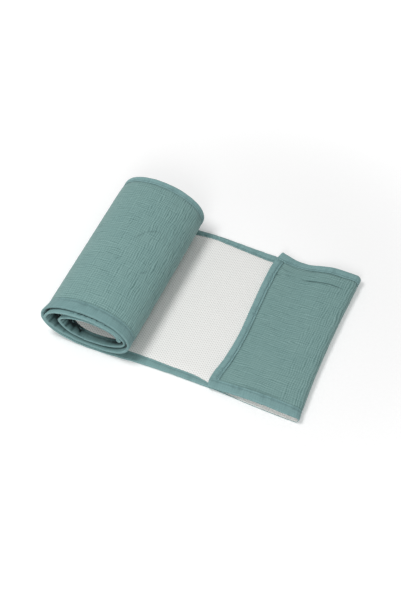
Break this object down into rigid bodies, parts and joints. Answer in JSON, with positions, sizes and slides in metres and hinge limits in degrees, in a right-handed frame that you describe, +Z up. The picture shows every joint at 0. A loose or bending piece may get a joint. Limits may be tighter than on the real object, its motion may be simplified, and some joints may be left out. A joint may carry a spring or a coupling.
{
  "type": "crib bumper",
  "caption": "Long padded cloth strip, muslin on one face and spacer mesh on the other, bound on all edges, one end loosely rolled and the other folded back.",
  "frame": {"origin": "the ground plane, under the middle of the strip's width and within 2 mm of the middle of its lying length", "axes": "+X along the lying strip, from the roll to the folded end; +Y across the strip, away from the viewer; +Z up"},
  "size_m": [0.4471, 0.3096, 0.098],
  "materials": {
    "muslin": "crinkled double gauze, matt",
    "mesh": "open spacer mesh, matt",
    "binding": "folded gauze tape, matt"
  },
  "bodies": {
    "root": {"muslin_panel": "muslin", "mesh_panel": "mesh", "binding_front": "binding", "binding_back": "binding", "binding_flap_end": "binding", "binding_inner_end": "binding"}
  },
  "joints": []
}
